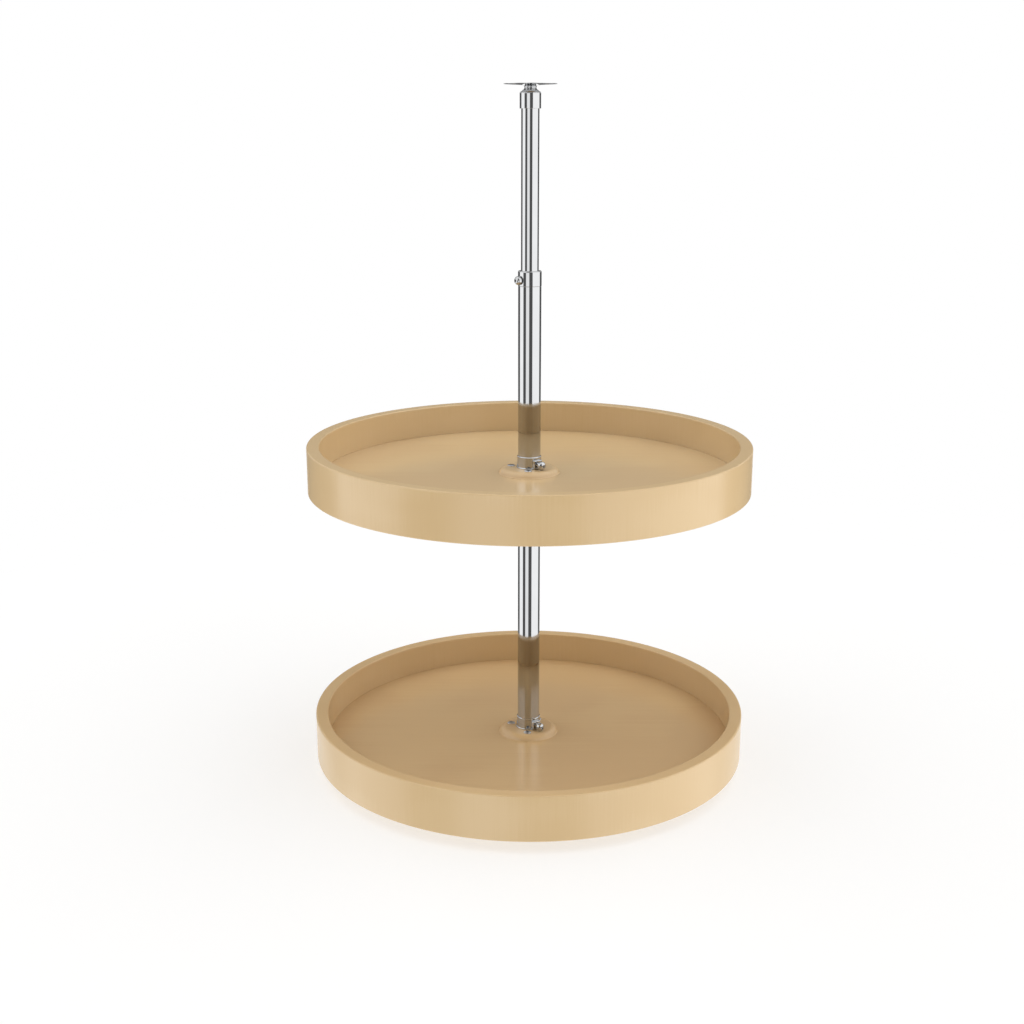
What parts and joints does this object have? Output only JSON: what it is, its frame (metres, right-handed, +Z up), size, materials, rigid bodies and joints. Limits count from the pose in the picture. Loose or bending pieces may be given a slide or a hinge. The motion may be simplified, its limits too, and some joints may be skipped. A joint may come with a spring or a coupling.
{
  "type": "corner cabinet carousel",
  "caption": "Full-circle wooden carousel shelves with raised rims, clamped to a telescoping chromed post that turns between a base plate and a top flange.",
  "frame": {"origin": "centre of the base plate's underside, on the post's axis, at the cabinet floor", "axes": "+Z up along the post's axis; +X to the right and -Y towards the viewer, as in the picture"},
  "size_m": [0.508, 0.508, 0.781],
  "materials": {
    "rim_wood": "clear satin lacquer on bent beech-coloured wood",
    "panel_wood": "clear satin lacquer",
    "chrome": "bright chrome plate",
    "zinc_steel": "zinc-plated steel",
    "nylon": "natural white nylon"
  },
  "bodies": {
    "base": {"base_plate": "zinc_steel", "pivot_stud": "zinc_steel", "thrust_washer": "nylon"},
    "post": {"foot_plug": "nylon", "outer_tube": "chrome", "collar": "chrome", "guide_bush": "nylon"},
    "telescope_lock_screw": {"telescope_lock_screw": "chrome"},
    "inner_post": {"inner_tube": "chrome", "inner_guide": "nylon", "top_cap": "chrome", "top_bush": "nylon"},
    "top_mount": {"top_flange": "chrome", "top_pin": "zinc_steel"},
    "lower_shelf": {"lower_rim": "rim_wood", "lower_floor_panel": "panel_wood", "lower_hub_disc": "panel_wood", "lower_clamp_sleeve": "chrome", "lower_under_plate": "zinc_steel", "lower_hub_screw_1": "chrome", "lower_hub_nut_1": "zinc_steel", "lower_hub_screw_2": "chrome", "lower_hub_nut_2": "zinc_steel", "lower_hub_screw_3": "chrome", "lower_hub_nut_3": "zinc_steel"},
    "lower_clamp_screw": {"lower_clamp_screw": "chrome"},
    "upper_shelf": {"upper_rim": "rim_wood", "upper_floor_panel": "panel_wood", "upper_hub_disc": "panel_wood", "upper_clamp_sleeve": "chrome", "upper_under_plate": "zinc_steel", "upper_hub_screw_1": "chrome", "upper_hub_nut_1": "zinc_steel", "upper_hub_screw_2": "chrome", "upper_hub_nut_2": "zinc_steel", "upper_hub_screw_3": "chrome", "upper_hub_nut_3": "zinc_steel"},
    "upper_clamp_screw": {"upper_clamp_screw": "chrome"}
  },
  "joints": [
    {"name": "post_spin", "type": "hinge", "parent": "base", "child": "post", "pos_m": [0, 0, 0.0066], "axis": [0, 0, 1], "continuous": true},
    {"name": "telescope", "type": "slide", "parent": "post", "child": "inner_post", "axis": [0, 0, 1], "range_m": [-0.121, 0.025]},
    {"name": "top_turn", "type": "hinge", "parent": "inner_post", "child": "top_mount", "pos_m": [0, 0, 0.777], "axis": [0, 0, 1], "continuous": true},
    {"name": "lower_shelf_height", "type": "slide", "parent": "post", "child": "lower_shelf", "axis": [0, 0, 1], "range_m": [-0.005, 0.13]},
    {"name": "upper_shelf_height", "type": "slide", "parent": "post", "child": "upper_shelf", "axis": [0, 0, 1], "range_m": [-0.13, 0.19]},
    {"name": "telescope_lock_turn", "type": "hinge", "parent": "post", "child": "telescope_lock_screw", "pos_m": [0, 0, 0.5712], "axis": [-0.8387, -0.5446, 0], "range_deg": [0, 630]},
    {"name": "lower_clamp_turn", "type": "hinge", "parent": "lower_shelf", "child": "lower_clamp_screw", "pos_m": [0, 0, 0.0409], "axis": [0.6157, -0.788, 0], "range_deg": [0, 630]},
    {"name": "upper_clamp_turn", "type": "hinge", "parent": "upper_shelf", "child": "upper_clamp_screw", "pos_m": [0, 0, 0.3625], "axis": [0.6157, -0.788, 0], "range_deg": [0, 630]}
  ],
  "couplings": [
    {"joint": "top_turn", "follows": "post_spin", "ratio": -1}
  ]
}
